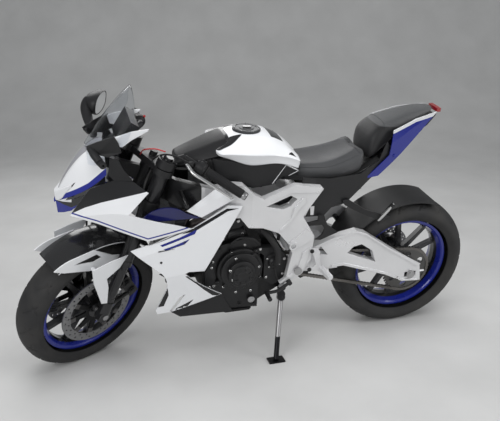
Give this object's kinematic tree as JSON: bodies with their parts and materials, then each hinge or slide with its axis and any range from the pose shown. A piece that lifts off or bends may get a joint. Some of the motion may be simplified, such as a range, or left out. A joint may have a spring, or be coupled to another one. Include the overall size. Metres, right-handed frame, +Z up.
{
  "type": "sport motorcycle",
  "caption": "Faired sport motorcycle leaning on its side stand, with turning steering, free wheels and folding stand",
  "frame": {"origin": "on the floor, under the middle of the parked motorcycle's bounding box", "axes": "+X forward along the frame, +Y to the rider's left, +Z up; the motorcycle leans to +Y"},
  "size_m": [2.0086, 0.6198, 1.18],
  "materials": {
    "tyre_rubber": "matte",
    "rim_blue": "satin",
    "disc_steel": "brushed",
    "fork_metal": "satin",
    "steel": "satin",
    "black_metal": "satin",
    "silver_metal": "satin",
    "chain_steel": "oiled",
    "engine_black": "satin",
    "black_plastic": "fine grain",
    "exhaust_steel": "heat tinted",
    "white_paint": "gloss",
    "blue_paint": "gloss",
    "clear_screen": "polished",
    "seat_vinyl": "fine grain",
    "pillion_vinyl": "fine grain",
    "lamp_red": "polished",
    "gloss_black": "gloss"
  },
  "bodies": {
    "front_wheel": {"front_tyre": "tyre_rubber", "front_rim": "rim_blue", "front_discs": "disc_steel"},
    "rear_wheel": {"rear_tyre": "tyre_rubber", "rear_rim": "rim_blue", "rear_disc": "disc_steel", "rear_sprocket": "disc_steel"},
    "steering": {"fork_legs": "fork_metal", "front_axle": "steel", "lower_yoke": "black_metal", "upper_yoke": "black_metal", "handlebar_left": "black_metal", "handlebar_right": "black_metal", "front_fender": "white_paint", "front_calipers": "silver_metal"},
    "side_stand": {"side_stand": "steel"},
    "frame": {"chain": "chain_steel", "drive_sprocket": "steel", "main_frame": "silver_metal", "swingarm": "silver_metal", "pivot_bolt": "steel", "rear_axle": "steel", "subframe": "black_metal", "rear_shock": "black_metal", "engine_case": "engine_black", "cylinder_head": "engine_black", "generator_cover": "engine_black", "clutch_cover": "engine_black", "sprocket_cover": "black_plastic", "exhaust": "exhaust_steel", "radiator": "black_metal", "side_panels": "white_paint", "side_cowls": "white_paint", "upper_covers": "white_paint", "belly_pan": "black_plastic", "nose_cowl": "white_paint", "wind_screen": "clear_screen", "meter": "black_plastic", "fairing_stay": "black_metal", "front_duct": "blue_paint", "mirror_right": "black_plastic", "mirror_mount_left": "black_plastic", "fuel_tank": "white_paint", "filler_cap": "black_metal", "tank_base": "black_plastic", "rider_seat": "seat_vinyl", "pillion_seat": "pillion_vinyl", "tail_panels": "blue_paint", "undertail": "black_plastic", "tail_lamp": "lamp_red", "rear_hugger": "black_plastic", "footrests": "silver_metal", "passenger_pegs": "black_metal", "foot_pedals": "black_metal", "stand_bracket": "black_metal", "inner_guides": "blue_paint", "heel_plates": "black_metal", "tank_cover": "gloss_black", "inner_panels": "black_plastic", "seat_covers": "black_plastic"}
  },
  "joints": [
    {"name": "steering_turn", "type": "hinge", "parent": "frame", "child": "steering", "pos_m": [0.70363, -0.03859, 0.28147], "axis": [-0.3794, 0.1686, 0.9098], "range_deg": [-60, 0]},
    {"name": "front_wheel_spin", "type": "hinge", "parent": "steering", "child": "front_wheel", "pos_m": [0.72639, -0.02292, 0.28805], "axis": [-0.4626, 0.817, -0.3443], "continuous": true},
    {"name": "rear_wheel_spin", "type": "hinge", "parent": "frame", "child": "rear_wheel", "pos_m": [-0.69, -0.0326, 0.31378], "axis": [0, 0.9833, -0.1822], "continuous": true},
    {"name": "side_stand_fold", "type": "hinge", "parent": "frame", "child": "side_stand", "pos_m": [-0.07822, 0.0947, 0.24335], "axis": [0.2211, 0.8701, 0.4405], "range_deg": [0, 105]}
  ]
}
